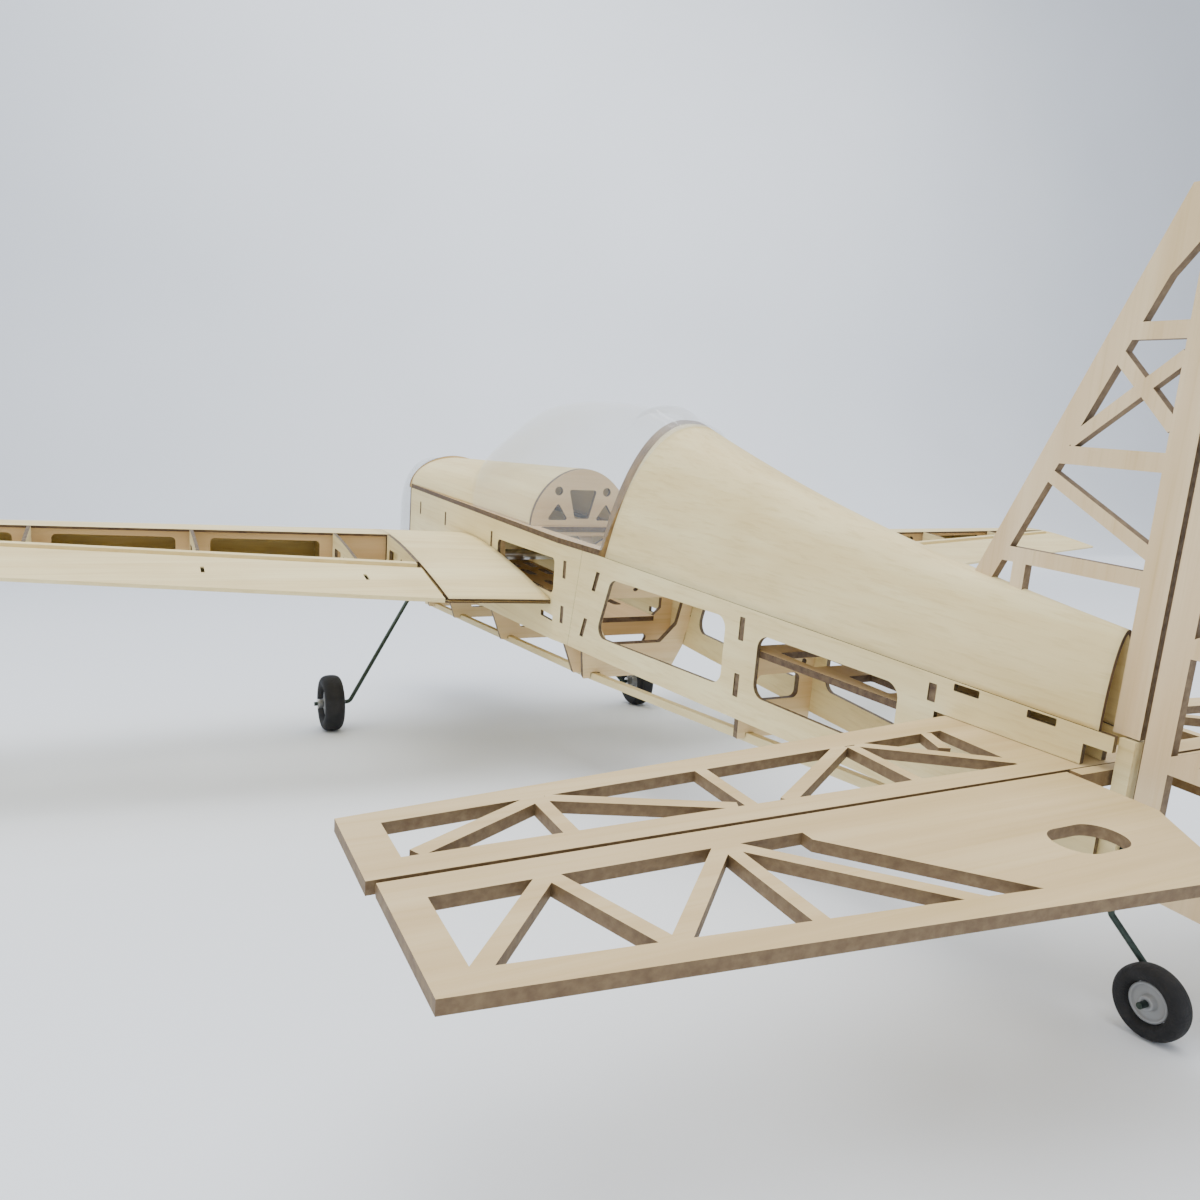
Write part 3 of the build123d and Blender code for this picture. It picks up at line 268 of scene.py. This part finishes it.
FINISH_OF = {
    "side_": balsa_side, "rear_deck": balsa_deck, "front_deck": balsa_deck,
    "wing_root_skin": balsa_span, "wing_nose_skin": balsa_span, "wing_tip": balsa_span,
    "aileron": balsa_span, "wing_rear_spar": balsa_span, "wing_spar": balsa_spar, "wing_ribs": balsa_rib,
    "tailplane": balsa_tail, "elevator": balsa_tail, "fin": balsa_fin, "rudder": balsa_fin,
    "belly_stringers": balsa_stick, "sternpost": balsa_stick,
    "former": ply_former, "firewall": ply_former, "hatch_nose_former": ply_former,
    "instrument_panel": ply_former, "panel_foot": ply_former, "rear_deck_hoop": ply_former,
    "hatch_frame": ply_flat, "battery_tray": ply_flat, "servo_tray": ply_flat, "gear_block": ply_flat,
    "tail_wheel_bearing": ply_flat, "canopy": clear, "cowl": milky,
    "tyre": tyre_black, "tail_tyre": tyre_black, "hub": hub_grey, "tail_hub": hub_grey,
    "gear_wires": wire_dark, "tail_wheel_wire": wire_dark,
    "wheel_collars": steel_bright, "hatch_magnets": steel_bright, "wing_tube": alloy,
}


def finish_for(name):
    """The finish whose key is the longest start of the node's name."""
    keys = [key for key in FINISH_OF if name.startswith(key)]
    return FINISH_OF[max(keys, key=len)]


for name, piece in nodes.items():
    piece.data.materials.clear()
    piece.data.materials.append(finish_for(name))


# ------------------------------------------------------------------ curved pieces
class Shape:
    """Vertices and faces gathered for one mesh; the second finish marks cut edges, which are shaded flat."""

    def __init__(self):
        self.points, self.faces, self.cuts, self.count = [], [], [], 0

    def add(self, points):
        """Adds a grid of points and returns its vertex numbers."""
        index = self.count + np.arange(points.shape[0] * points.shape[1]).reshape(points.shape[:2])
        self.points.append(points.reshape(-1, 3))
        self.count += index.size
        return index

    def skin(self, index, flip=False, cut=False):
        """Quads between neighbouring rows and columns of vertex numbers."""
        quads = np.stack([index[:-1, :-1], index[1:, :-1], index[1:, 1:], index[:-1, 1:]], -1).reshape(-1, 4)
        self.faces += (quads[:, ::-1] if flip else quads).tolist()
        self.cuts += [cut] * len(quads)

    def fan(self, ring, middle, flip=False):
        """Triangles from a ring of vertex numbers to one middle vertex."""
        for a, b in zip(ring[:-1], ring[1:]):
            self.faces.append([int(middle), int(b), int(a)] if flip else [int(middle), int(a), int(b)])
            self.cuts.append(False)

    def make(self, name, finishes):
        """The finished mesh object, standing at the origin."""
        mesh = bpy.data.meshes.new(name)
        mesh.from_pydata(np.concatenate(self.points).tolist(), [], self.faces)
        for finish in finishes:
            mesh.materials.append(finish)
        mesh.polygons.foreach_set("use_smooth", [not cut for cut in self.cuts])
        mesh.polygons.foreach_set("material_index", [int(cut and len(finishes) > 1) for cut in self.cuts])
        mesh.update()
        piece = bpy.data.objects.new(name, mesh)
        bpy.context.scene.collection.objects.link(piece)
        return piece


def fit(piece, node, body):
    """Puts a finished piece in place of its plain node, on the same body."""
    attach(piece, body)
    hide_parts(node)


def outward(points):
    """Unit normals of a grid of points, and whether they come out pointing away from its middle."""
    normal = np.cross(np.gradient(points, axis=0), np.gradient(points, axis=1))
    normal /= np.maximum(np.linalg.norm(normal, axis=-1, keepdims=True), 1e-12)
    away = (normal * (points - points.mean((0, 1)))).sum() > 0
    return (normal if away else -normal), away


def shell(name, outer, depth, finishes, ring=False):
    """Sheet of even thickness: the outer surface, the same surface moved inwards along its normals by depth,
    and cut rims between them; a ring joins its last column to its first."""
    if ring:
        closed = np.concatenate([outer[:, -2:], outer, outer[:, :2]], 1)
        normal, away = outward(closed)
        normal = normal[:, 2:-2]
    else:
        normal, away = outward(outer)
    inner = outer - normal * (np.asarray(depth, float) / 1000.0)
    shape = Shape()
    o, n = shape.add(outer), shape.add(inner)
    if ring:
        o, n = np.concatenate([o, o[:, :1]], 1), np.concatenate([n, n[:, :1]], 1)
    shape.skin(o, not away)
    shape.skin(n, away)
    shape.skin(np.stack([n[0], o[0]]), not away, True)
    shape.skin(np.stack([o[-1], n[-1]]), not away, True)
    if not ring:
        shape.skin(np.stack([n[:, 0], o[:, 0]], 1), not away, True)
        shape.skin(np.stack([o[:, -1], n[:, -1]], 1), not away, True)
    return shape.make(name, finishes)


def turned(name, radius, along, centre, finish, count=96):
    """Surface of revolution: a closed outline of radius against distance along the left-right axle."""
    angle = np.linspace(0.0, 2 * math.pi, count, endpoint=False)
    radius, along = np.asarray(radius)[:, None], np.asarray(along)[:, None]
    points = np.stack(np.broadcast_arrays(centre[0] + along, centre[1] + radius * np.cos(angle),
                                          centre[2] + radius * np.sin(angle)), -1)
    shape = Shape()
    index = shape.add(stand(points))
    index = np.concatenate([index, index[:1]], 0)
    index = np.concatenate([index, index[:, :1]], 1)
    area = ((radius + np.roll(radius, -1, 0)) * (np.roll(along, -1, 0) - along)).sum()
    shape.skin(index, area > 0)
    return shape.make(name, [finish])


def through(stations, values, at):
    """Smooth curve through values at stations: cubic pieces with slopes taken from the neighbours."""
    stations, values, at = (np.asarray(v, float) for v in (stations, values, at))
    slope = np.gradient(values, stations)
    k = np.clip(np.searchsorted(stations, at) - 1, 0, len(stations) - 2)
    h = stations[k + 1] - stations[k]
    t = np.clip((at - stations[k]) / h, 0.0, 1.0)
    return ((2 * t ** 3 - 3 * t ** 2 + 1) * values[k] + (t ** 3 - 2 * t ** 2 + t) * h * slope[k]
            + (3 * t ** 2 - 2 * t ** 3) * values[k + 1] + (t ** 3 - t ** 2) * h * slope[k + 1])


# ------------------------------------------------------------------ decks, hoops and canopy
OVER = np.linspace(math.pi, 0.0, 73)[None, :]      # from the right foot over the top to the left foot
HALF_WIDTH = 38.9                                  # of the fuselage, to the outside of its sides
TAPER_Y = 310.0                                    # where the sides start to close towards the stern
COCKPIT_Y = 357.0                                  # foot of the raked cockpit hoop
RAKE = 0.335                                       # aft lean of the hoop, per millimetre of height
PANEL_Y = 257.0
STERN_Y = 639.4
DECK_SHEET, CANOPY_SHEET, COWL_SHEET = 1.5, 0.6, 0.8


def half_width(y):
    """Half the fuselage's width: constant, then falling in a straight line behind the taper's start."""
    return HALF_WIDTH - 0.102 * np.maximum(0.0, y - TAPER_Y)


def ridge(y):
    """Top line of the rear deck: a falling parabola less a half sine wave, from the hoop to the stern."""
    t = (y - 382.0) / (STERN_Y - 382.0)
    return 75.0 - 62.0 * t + 11.5 * t * t - 3.0 * np.sin(math.pi * t)


def arched(y, half, base, top, power):
    """Superellipse arch at station y: x is half times cosine to the power 2/power, and the height above the
    base is the rise times sine to the same power."""
    c, s = np.cos(OVER), np.clip(np.sin(OVER), 0.0, 1.0)
    x = np.sign(c) * half * np.abs(c) ** (2 / power)
    return np.stack(np.broadcast_arrays(x, y, base + (top - base) * s ** (2 / power)), -1)


def rear_arch(y):
    """The rear deck's arch at station y, rounder towards the stern."""
    foot = 0.2 - 0.022 * np.maximum(0.0, y - COCKPIT_Y)
    return arched(y, half_width(y), foot, ridge(y), 2.5 - 0.4 * (y - COCKPIT_Y) / 280.0)


def front_arch(y):
    """The front deck's arch at station y: low at the nose, higher and narrower at the instruments."""
    return arched(y, HALF_WIDTH - 3.9 * y / PANEL_Y, 3.5, 27.5 + 12.5 * y / PANEL_Y, 1.9)


CANOPY_Y = [96.0, 128.0, 152.0, 179.0, 216.0, 262.0, 313.0, 361.0, 402.0]
CANOPY_Z = [29.0, 42.0, 52.0, 63.5, 76.6, 82.3, 82.4, 78.0, 71.8]


def canopy_arch(y):
    """The canopy's arch: narrow and round in front, spread just outside the rear deck at the hoop."""
    foot = (half_width(y) - 0.1) * np.minimum(1.0, (y - 70.0) / 90.0) ** 0.5
    foot = foot + 0.9 * np.clip((y - 250.0) / 90.0, 0.0, 1.0)
    top = through(CANOPY_Y, CANOPY_Z, y)
    top = np.where(y > COCKPIT_Y, np.maximum(top, ridge(y) + 1.3), top)
    return arched(y, foot, 3.5, top, 2.0 + 0.55 * np.clip((y - 130.0) / 200.0, 0.0, 1.0))


def raked(front, back, lean_front, lean_back, arch, rows):
    """Rows between two edges that lean aft with height: a point's station is the mix of the two edges'
    stations at its own height, found by repeating the mix until it settles."""
    v = np.linspace(0.0, 1.0, rows)[:, None]
    y = front + (back - front) * v + 0.0 * OVER
    for _ in range(12):
        z = arch(y)[..., 2]
        y = (front + lean_front * z) * (1.0 - v) + (back + lean_back * z) * v
    return arch(y)


def decks():
    """Bent balsa sheet over the nose and over the rear fuselage."""
    rear = raked(COCKPIT_Y + 4.0, STERN_Y - 5.0, RAKE, 0.0, rear_arch, 90)
    fit(shell("rear_deck_sheeting", stand(rear), DECK_SHEET, [balsa_deck, burnt]),
        "rear_deck", "airframe")
    front = front_arch(np.linspace(0.2, PANEL_Y - 0.1, 60)[:, None])
    fit(shell("front_deck_sheeting", stand(front), DECK_SHEET, [balsa_deck, burnt]),
        "front_deck", "hatch")


def canopy_bubble():
    """Clear sheet from the windscreen back over the hoop, its edge lapping the deck more at the top."""
    blown = raked(104.0, COCKPIT_Y - 1.0, 0.0, 0.50, canopy_arch, 80)
    fit(shell("canopy_bubble", stand(blown), CANOPY_SHEET, [clear]), "canopy", "hatch")


def hoops():
    """Plywood hoops: the sawn outer edge shows as a dark band at the end of each deck."""
    edges = [raked(COCKPIT_Y + at, 500.0, RAKE, 0.0, rear_arch, 2)[:1] for at in (-2.7, 0.6, 3.9)]
    cockpit = shell("cockpit_hoop", stand(np.concatenate(edges)), 6.0, [ply_hoop, ply_former])
    fit(cockpit, "rear_deck_hoop", "airframe")
    rim = arched(np.array([[-3.0], [0.1]]), HALF_WIDTH + 1.1, 0.4, 28.8, 1.9)
    fit(shell("nose_hoop", stand(rim), 8.0, [ply_hoop, ply_former]), "hatch_nose_former", "hatch")


def cowl():
    """Vacuum-formed cowl: superellipse rings from the firewall forward to the spinner hole, with one last
    ring turned back inside it. Half width, middle height and rise pass smoothly through their values at the
    stations, and the power falls from 3.6 to 2 with the cube of the share of the way forward."""
    stations = [-66.0, -62.0, -52.0, -30.0, -3.2]
    around = np.linspace(0.0, 2 * math.pi, 96, endpoint=False)[None, :]
    forward = np.linspace(0.0, 1.0, 40)
    y = stations[-1] + (stations[0] - stations[-1]) * forward ** 0.9

    def rings(values, last):
        return np.append(values, last)[:, None]

    half = rings(through(stations, [19.0, 27.5, 33.5, 38.0, 39.0], y), 19.0)
    middle = rings(through(stations, [-42.0, -40.0, -36.5, -34.0, -37.0], y), -42.0)
    rise = rings(through(stations, [19.0, 33.0, 46.0, 58.0, 64.0], y), 19.0)
    power = 2 / rings(2.0 + 1.6 * (1 - forward ** 3), 2.0)
    c, s = np.cos(around), np.sin(around)
    points = np.stack(np.broadcast_arrays(np.sign(c) * half * np.abs(c) ** power, rings(y, -65.0),
                                          middle + np.sign(s) * rise * np.abs(s) ** power), -1)
    moulding = shell("cowl_moulding", stand(points), COWL_SHEET, [milky], ring=True)
    fit(moulding, "cowl", "airframe")


# ------------------------------------------------------------------ wing skins
ROOT_X, BAY_X, TIP_X = 39.3, 102.0, 566.0
TIP_LENGTH = 9.9
ROOT_CHORD = 204.0
SPAR_SHARE, SPAR_LAP = 0.31, 8.0                   # the nose skin ends this far past the spar
WING_SHEET = 1.5


def lead(x):
    """Leading edge: swept aft in a straight line from the fuselage side."""
    return 101.6 + 0.040 * (x - HALF_WIDTH)


def trail(x):
    """Trailing edge: level to the first bay, then drawn forward in a straight line to the tip."""
    return 306.5 - 0.190 * np.maximum(0.0, x - BAY_X)


def mid(x):
    """Height of the section's middle line, rising in a straight line towards the tip."""
    return -35.7 + 0.035 * (x - HALF_WIDTH)


def half_thick(s):
    """Half-thickness of the symmetric wing section as a share of the chord: a square-root term and a quartic in
    the share s, thinned to 0.875, with a wedge that makes the trailing edge blunt."""
    symmetric = 0.2969 * np.sqrt(s) - 0.126 * s - 0.3516 * s ** 2 + 0.2843 * s ** 3 - 0.1036 * s ** 4
    return 0.875 * symmetric + 0.006 * s


def section(x, s, side):
    """Point of the wing surface at span x, share s of the chord, upper side +1 or lower side -1."""
    chord = trail(x) - lead(x)
    return np.stack(np.broadcast_arrays(x, lead(x) + s * chord, mid(x) + side * chord * half_thick(s)), -1)


def wrapped(count=44):
    """Shares from 1 on top round the nose to 1 below, as one less the cosine of an even angle, with sides."""
    s = 1.0 - np.cos(np.linspace(0.0, math.pi / 2, count))
    share = np.concatenate([s[::-1], s[1:]])
    side = np.concatenate([np.ones(count), -np.ones(count - 1)])
    return share[None, :], side[None, :]


def tip_rings():
    """Wing tip: rings of the section, drawn in along the chord and rounded off by a quarter circle."""
    u = np.linspace(0.0, 0.995, 16)[:, None]
    loop = np.linspace(0.0, 2 * math.pi, 96, endpoint=False)[None, :]
    share = 0.5 - 0.5 * np.cos(loop)
    side = np.where(loop < math.pi, 1.0, -1.0)
    x = TIP_X + 0.1
    chord = trail(x) - lead(x)
    y = lead(x) + chord * (0.52 + (share - 0.52) * (1.0 - 0.24 * u ** 2.4))
    z = mid(x) + side * chord * half_thick(share) * np.sqrt(1.0 - u ** 2) + 0.6 * u
    return np.stack(np.broadcast_arrays(x + TIP_LENGTH * u, y, z), -1)


def tip_block(name, rings, left):
    """Solid block: the rings joined up, each end closed with a fan to its middle."""
    block = Shape()
    index = block.add(rings)
    index = np.concatenate([index, index[:, :1]], 1)
    ends = block.add(np.stack([rings[:1].mean((0, 1)), rings[-1:].mean((0, 1))])[None])[0]
    block.skin(index, not left)
    block.fan(index[0], ends[0], not left)
    block.fan(index[-1], ends[1], left)
    return block.make(name, [balsa_span])


def wings():
    """Root skins from the fuselage to the first bay, nose skins to the tips, and the tip blocks."""
    share, side = wrapped()
    root = section(np.linspace(ROOT_X, BAY_X - 0.1, 16)[:, None], share, side)
    root_depth = np.minimum(WING_SHEET, 0.7 * ROOT_CHORD * half_thick(share) + 0.05)[..., None]
    span = np.linspace(BAY_X + 0.1, TIP_X, 60)[:, None]
    nose = section(span, (SPAR_SHARE + SPAR_LAP / (trail(span) - lead(span))) * share, side + 0.0 * span)
    for word, flip in (("left", 1.0), ("right", -1.0)):
        hand = np.array([flip, 1.0, 1.0])
        fit(shell(f"root_skin_{word}", stand(root * hand), root_depth, [balsa_span, burnt]),
            f"wing_root_skin_{word}", "airframe")
        fit(shell(f"nose_skin_{word}", stand(nose * hand), WING_SHEET, [balsa_span, burnt]),
            f"wing_nose_skin_{word}", "airframe")
        fit(tip_block(f"tip_block_{word}", stand(tip_rings() * hand), flip > 0),
            f"wing_tip_{word}", "airframe")


# ------------------------------------------------------------------ wheels
def tyre_outline(rim, radius, width):
    """Ring section of a foam tyre: a superellipse, with cosine and sine to the power 0.78."""
    a = np.linspace(0.0, 2 * math.pi, 40, endpoint=False)
    c, s = np.cos(a), np.sin(a)
    return ((radius + rim) / 2 + np.sign(c) * (radius - rim) / 2 * np.abs(c) ** 0.78,
            np.sign(s) * width / 2 * np.abs(s) ** 0.78)


def hub_outline(rim, width, bore):
    """Dished hub: bore, boss, dish and rim lip, then back on the other face, as radius and share of width."""
    half = [(bore, 0.50), (0.34 * rim, 0.50), (0.37 * rim, 0.47), (0.40 * rim, 0.16), (0.44 * rim, 0.12),
            (0.76 * rim, 0.14), (0.82 * rim, 0.20), (0.85 * rim, 0.31), (0.88 * rim, 0.33), (rim - 0.1, 0.32)]
    points = half + [(r, -a) for r, a in half[::-1]]
    return [r for r, _ in points], [width * a for _, a in points]


def wheel(word, nodes_replaced, body, axle, tyre_size, hub_size):
    """Foam tyre (rim, radius, width) on a dished hub (rim, width, bore), turned about the axle's middle."""
    tyre_node, hub_node = nodes_replaced
    fit(turned(f"foam_tyre_{word}", *tyre_outline(*tyre_size), axle, tyre_black),
        tyre_node, body)
    fit(turned(f"dished_hub_{word}", *hub_outline(*hub_size), axle, hub_grey),
        hub_node, body)


def wheels():
    for word, x in (("left", 129.4), ("right", -129.4)):
        wheel(word, (f"tyre_{word}", f"hub_{word}"), f"wheel_{word}", (x, 124.2, -148.97),
              (11.0, 20.6, 14.0), (11.0, 11.0, 1.55))
    wheel("tail", ("tail_tyre", "tail_hub"), "tail_wheel", (0.6, 662.0, -80.0),
          (6.0, 11.0, 7.0), (6.0, 5.5, 1.05))


decks()
canopy_bubble()
hoops()
cowl()
wings()
wheels()


# ------------------------------------------------------------------ stage, light and camera
def paper(name, shade):
    """Matt studio paper with a barely visible unevenness."""
    f = Finish(name)
    haze = f.noise(f.place(), 0.7, 2.0, 0.5)
    dull = tuple(0.96 * s for s in shade)
    return f.close(Base_Color=f.mix(haze.over(0.3, 0.7), shade, dull), Roughness=0.8)


def cove():
    """Floor that curves up into a backdrop: a quarter-round cove between a level sheet and an upright one."""
    across = np.linspace(-22.0, 22.0, 13)
    angle = np.linspace(0, math.pi / 2, 17)
    radius, far, near, height = 2.0, -5.0, 6.0, 9.0
    y = np.concatenate([[near, 0.0], far - radius * np.sin(angle), [far - radius]])
    z = np.concatenate([[0.0, 0.0], radius - radius * np.cos(angle), [height]])
    points = np.stack(np.broadcast_arrays(across[None, :], y[:, None], z[:, None]), -1)
    shape = Shape()
    shape.skin(shape.add(points))
    shape.make("studio_cove", [paper("studio_paper", (0.84, 0.88, 0.93))])


def sky():
    """Even, slightly cool fill light from all round."""
    world = bpy.data.worlds.new("studio")
    bpy.context.scene.world = world
    world.use_nodes = True
    fill = world.node_tree.nodes["Background"].inputs
    fill["Color"].default_value = (0.88, 0.92, 1.0, 1.0)
    fill["Strength"].default_value = 0.85


def soft_box(name, place, target, size, power, tint=(1.0, 1.0, 1.0)):
    """Rectangular lamp at a place, turned to its target."""
    light = bpy.data.lights.new(name, "AREA")
    light.shape = "RECTANGLE"
    light.size, light.size_y = size
    light.energy = power
    light.color = tint
    lamp = bpy.data.objects.new(name, light)
    bpy.context.scene.collection.objects.link(lamp)
    lamp.location = place
    lamp.rotation_euler = (Vector(target) - Vector(place)).to_track_quat("-Z", "Y").to_euler()


def viewpoint(eye, yaw, tilt, roll, focal):
    """Camera behind the left tailplane, its focal length in millimetres on a 36 mm square frame."""
    yaw, tilt, roll = (math.radians(angle) for angle in (yaw, tilt, roll))
    ahead = Vector((-math.sin(yaw) * math.cos(tilt), -math.cos(yaw) * math.cos(tilt), math.sin(tilt)))
    right = ahead.cross(Vector((0, 0, 1))).normalized()
    top = right.cross(ahead)
    right, top = right * math.cos(roll) + top * math.sin(roll), top * math.cos(roll) - right * math.sin(roll)
    lens = bpy.data.cameras.new("camera")
    lens.lens = focal
    lens.sensor_width = lens.sensor_height = 36.0
    lens.clip_start = 0.01
    camera = bpy.data.objects.new("camera", lens)
    camera.matrix_world = Matrix.Translation(Vector(eye)) @ Matrix((right, top, -ahead)).transposed().to_4x4()
    bpy.context.scene.collection.objects.link(camera)
    bpy.context.scene.camera = camera


cove()
sky()
soft_box("overhead_softbox", (0.3, 0.2, 2.4), (0, 0, 0.1), (2.4, 2.4), 74.0)
soft_box("backdrop_wash", (-3.5, -2.8, 5.0), (-4.0, -7.0, 1.5), (8.0, 2.0), 330.0)
soft_box("side_softbox", (2.2, 1.2, 1.3), (0, 0, 0.1), (1.6, 1.6), 16.0, (1.0, 0.97, 0.92))
viewpoint((0.265677, 0.484431, 0.145823), 26.970, -3.936, 0.393, 28.264)
